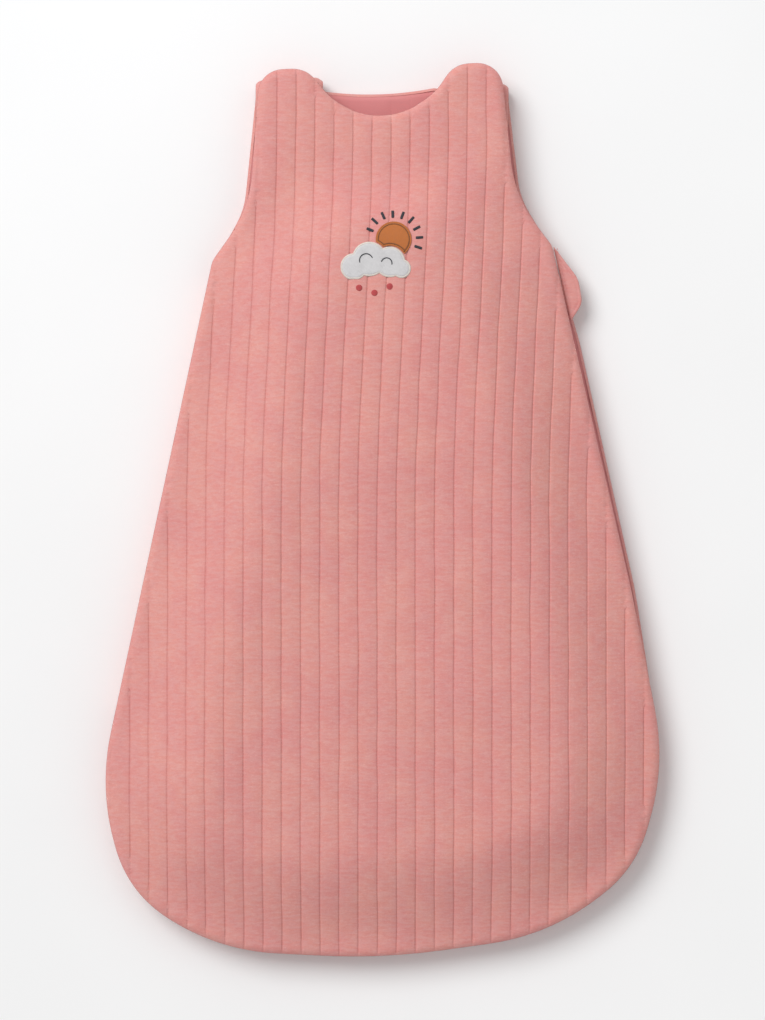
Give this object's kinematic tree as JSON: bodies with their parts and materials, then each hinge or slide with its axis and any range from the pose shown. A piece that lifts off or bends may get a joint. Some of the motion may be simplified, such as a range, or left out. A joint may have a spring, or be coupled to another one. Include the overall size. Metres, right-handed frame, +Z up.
{
  "type": "baby sleeping bag",
  "caption": "Sleeveless quilted sleeping bag for a baby, with shoulder tabs on press studs and a side and hem zip.",
  "frame": {"origin": "middle of the bag's foot print, on the surface it lies on", "axes": "+X to the right of the lying bag, +Y from the hem to the neck, +Z up through the front"},
  "size_m": [0.4346, 0.7006, 0.0532],
  "materials": {
    "outer_jersey": "soft melange jersey",
    "lining_jersey": "soft plain jersey",
    "wadding": "polyester wadding",
    "zip_tape": "woven tape",
    "zip_coil": "nylon coil",
    "zip_metal": "painted zinc",
    "snap_metal": "nickel plated",
    "ochre_cloth": "soft plain cloth",
    "white_cloth": "soft plain cloth",
    "cream_binding": "satin stitch",
    "charcoal_thread": "satin stitch",
    "rose_thread": "satin stitch"
  },
  "bodies": {
    "back_panel": {"back_lining": "lining_jersey", "back_outer": "outer_jersey", "back_side_seam": "outer_jersey", "back_wadding": "wadding", "back_zip_coil": "zip_coil", "back_zip_tape": "zip_tape", "back_zip_top_stop": "zip_metal", "left_strap_lining": "lining_jersey", "left_strap_outer": "outer_jersey", "left_strap_stud_rings": "snap_metal", "left_strap_studs": "snap_metal", "left_strap_wadding": "wadding", "right_strap_lining": "lining_jersey", "right_strap_outer": "outer_jersey", "right_strap_stud_rings": "snap_metal", "right_strap_studs": "snap_metal", "right_strap_wadding": "wadding", "zip_bottom_box": "zip_metal"},
    "front_panel": {"applique_cloud": "white_cloth", "applique_cloud_edge": "cream_binding", "applique_drops": "rose_thread", "applique_sun": "ochre_cloth", "applique_sun_rays": "charcoal_thread", "front_lining": "lining_jersey", "front_outer": "outer_jersey", "front_side_seam": "outer_jersey", "front_wadding": "wadding", "front_zip_coil": "zip_coil", "front_zip_tape": "zip_tape", "front_zip_top_stop": "zip_metal", "guard_seam": "outer_jersey"},
    "left_shoulder_tab": {"left_tab_lining": "lining_jersey", "left_tab_outer": "outer_jersey", "left_tab_socket_rings": "snap_metal", "left_tab_sockets": "snap_metal", "left_tab_wadding": "wadding"},
    "right_shoulder_tab": {"right_tab_lining": "lining_jersey", "right_tab_outer": "outer_jersey", "right_tab_socket_rings": "snap_metal", "right_tab_sockets": "snap_metal", "right_tab_wadding": "wadding"},
    "zip_slider": {"zip_slider": "zip_metal"},
    "zip_pull": {"zip_pull": "zip_metal"},
    "zip_guard": {"guard_outer": "outer_jersey", "guard_lining": "lining_jersey"}
  },
  "joints": [
    {"name": "front_opening", "type": "hinge", "parent": "back_panel", "child": "front_panel", "pos_m": [-0.13398, 0.19553, 0.0135], "axis": [-0.2104, -0.9776, 0], "range_deg": [0, 150]},
    {"name": "left_tab_fold", "type": "hinge", "parent": "front_panel", "child": "left_shoulder_tab", "pos_m": [-0.10186, 0.26887, 0.032], "axis": [0.8516, 0.5242, 0], "range_deg": [0, 140]},
    {"name": "right_tab_fold", "type": "hinge", "parent": "front_panel", "child": "right_shoulder_tab", "pos_m": [0.02671, 0.3172, 0.032], "axis": [0.8821, -0.4711, 0], "range_deg": [0, 140]},
    {"name": "zip_run", "type": "slide", "parent": "back_panel", "child": "zip_slider", "axis": [0.2246, -0.9744, 0], "range_m": [0, 0.24]},
    {"name": "pull_swing", "type": "hinge", "parent": "zip_slider", "child": "zip_pull", "pos_m": [0.13611, 0.18865, 0.0135], "axis": [0, 0, 1], "range_deg": [0, 170]},
    {"name": "guard_lift", "type": "hinge", "parent": "front_panel", "child": "zip_guard", "pos_m": [0.13398, 0.20766, 0.0187], "axis": [0.2246, -0.9744, 0], "range_deg": [0, 90]}
  ],
  "couplings": [
    {"joint": "zip_run", "follows": "front_opening", "m_per_rad": 0.091673}
  ]
}
